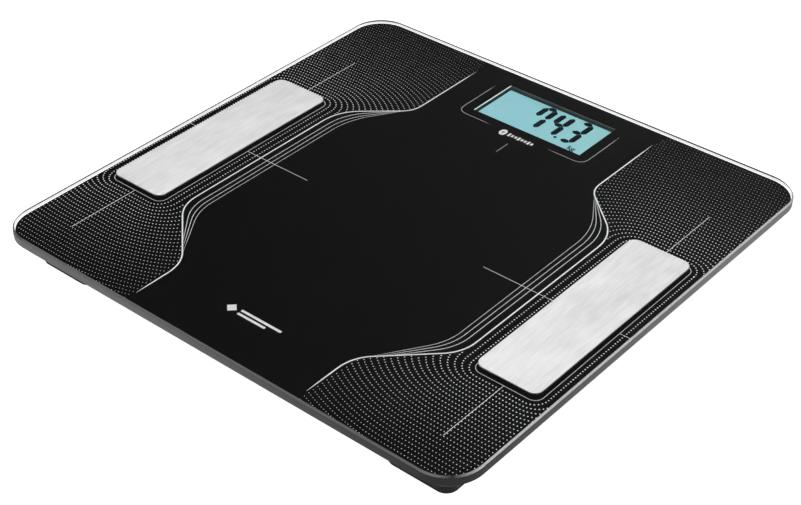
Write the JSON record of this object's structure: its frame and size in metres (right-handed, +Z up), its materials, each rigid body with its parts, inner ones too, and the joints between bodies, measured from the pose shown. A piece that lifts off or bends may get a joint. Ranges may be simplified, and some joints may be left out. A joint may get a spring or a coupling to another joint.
{
  "type": "digital bathroom scale",
  "caption": "Square glass bathroom scale with steel electrode plates, a lit display under the glass, feet that press load cells, a hinged battery door and a unit button.",
  "frame": {"origin": "centre of the plane that the four foot pads stand on", "axes": "+Z up, +Y from the heels towards the display, +X to the right of the person who stands on it"},
  "size_m": [0.3, 0.3, 0.0238],
  "materials": {
    "tempered_glass": "polished face, satin ground edge",
    "black_film": "black screen print seen through the glass",
    "foam_tape": "black closed-cell foam",
    "cover_plastic": "fine spark texture",
    "frame_plastic": "white moulded",
    "lcd_face": "lit light blue, dark digits",
    "backlight": "light guide",
    "board": "green solder mask",
    "shield_can": "tinned can",
    "chip": "black moulded package",
    "white_plastic": "natural nylon",
    "button_plastic": "grey moulded",
    "label": "silver paper, blank",
    "electrode_steel": "fine blasted grain",
    "plated_steel": "nickel plate",
    "tinned_brass": "tin plate",
    "battery_jacket": "plain printed jacket",
    "cell_steel": "stamped alloy steel",
    "gauge_foil": "foil on amber backing",
    "pad_rubber": "soft elastomer",
    "foot_plastic": "moulded",
    "lead_red": "insulation",
    "lead_black": "insulation"
  },
  "bodies": {
    "platform": {"backlight_panel": "backlight", "base_cover": "cover_plastic", "battery_1": "battery_jacket", "battery_2": "battery_jacket", "battery_3": "battery_jacket", "bonding_tape": "foam_tape", "controller_chip": "chip", "display_frame": "frame_plastic", "front_left_cell_carrier": "white_plastic", "front_left_cell_lead": "lead_black", "front_left_load_cell": "cell_steel", "front_left_strain_gauge": "gauge_foil", "front_right_cell_carrier": "white_plastic", "front_right_cell_lead": "lead_red", "front_right_load_cell": "cell_steel", "front_right_strain_gauge": "gauge_foil", "glass_platform": "tempered_glass", "lcd_panel": "lcd_face", "lead_socket": "white_plastic", "left_board_screw": "plated_steel", "left_bridge_contact": "plated_steel", "left_electrode_lead": "lead_black", "left_electrode_nut": "plated_steel", "left_electrode_plate": "electrode_steel", "left_electrode_terminal": "tinned_brass", "main_board": "board", "negative_battery_lead": "lead_black", "negative_contact": "plated_steel", "positive_battery_lead": "lead_red", "positive_contact": "plated_steel", "printed_film": "black_film", "radio_module": "shield_can", "rating_label": "label", "rear_left_cell_carrier": "white_plastic", "rear_left_cell_lead": "lead_black", "rear_left_load_cell": "cell_steel", "rear_left_strain_gauge": "gauge_foil", "rear_right_cell_carrier": "white_plastic", "rear_right_cell_lead": "lead_red", "rear_right_load_cell": "cell_steel", "rear_right_strain_gauge": "gauge_foil", "right_board_screw": "plated_steel", "right_bridge_contact": "plated_steel", "right_electrode_lead": "lead_red", "right_electrode_nut": "plated_steel", "right_electrode_plate": "electrode_steel", "right_electrode_terminal": "tinned_brass", "switch_board": "board", "unit_switch": "chip"},
    "front_left_foot_group": {"front_left_foot": "foot_plastic", "front_left_foot_pad": "pad_rubber"},
    "front_right_foot_group": {"front_right_foot": "foot_plastic", "front_right_foot_pad": "pad_rubber"},
    "rear_left_foot_group": {"rear_left_foot": "foot_plastic", "rear_left_foot_pad": "pad_rubber"},
    "rear_right_foot_group": {"rear_right_foot": "foot_plastic", "rear_right_foot_pad": "pad_rubber"},
    "battery_door": {"battery_door": "cover_plastic"},
    "unit_button": {"unit_button": "button_plastic"}
  },
  "joints": [
    {"name": "front_left_foot_press", "type": "slide", "parent": "platform", "child": "front_left_foot_group", "axis": [0, 0, 1], "range_m": [0, 0.0005], "stiffness_N_per_m": 5000, "springref_m": -0.0012, "deforming": ["front_left_load_cell"]},
    {"name": "front_right_foot_press", "type": "slide", "parent": "platform", "child": "front_right_foot_group", "axis": [0, 0, 1], "range_m": [0, 0.0005], "stiffness_N_per_m": 5000, "springref_m": -0.0012, "deforming": ["front_right_load_cell"]},
    {"name": "rear_left_foot_press", "type": "slide", "parent": "platform", "child": "rear_left_foot_group", "axis": [0, 0, 1], "range_m": [0, 0.0005], "stiffness_N_per_m": 5000, "springref_m": -0.0012, "deforming": ["rear_left_load_cell"]},
    {"name": "rear_right_foot_press", "type": "slide", "parent": "platform", "child": "rear_right_foot_group", "axis": [0, 0, 1], "range_m": [0, 0.0005], "stiffness_N_per_m": 5000, "springref_m": -0.0012, "deforming": ["rear_right_load_cell"]},
    {"name": "battery_door_hinge", "type": "hinge", "parent": "platform", "child": "battery_door", "pos_m": [0.0276, 0.04, 0.0046], "axis": [0, -1, 0], "range_deg": [0, 100]},
    {"name": "unit_button_press", "type": "slide", "parent": "platform", "child": "unit_button", "axis": [0, 0, 1], "range_m": [0, 0.0005], "stiffness_N_per_m": 500}
  ]
}
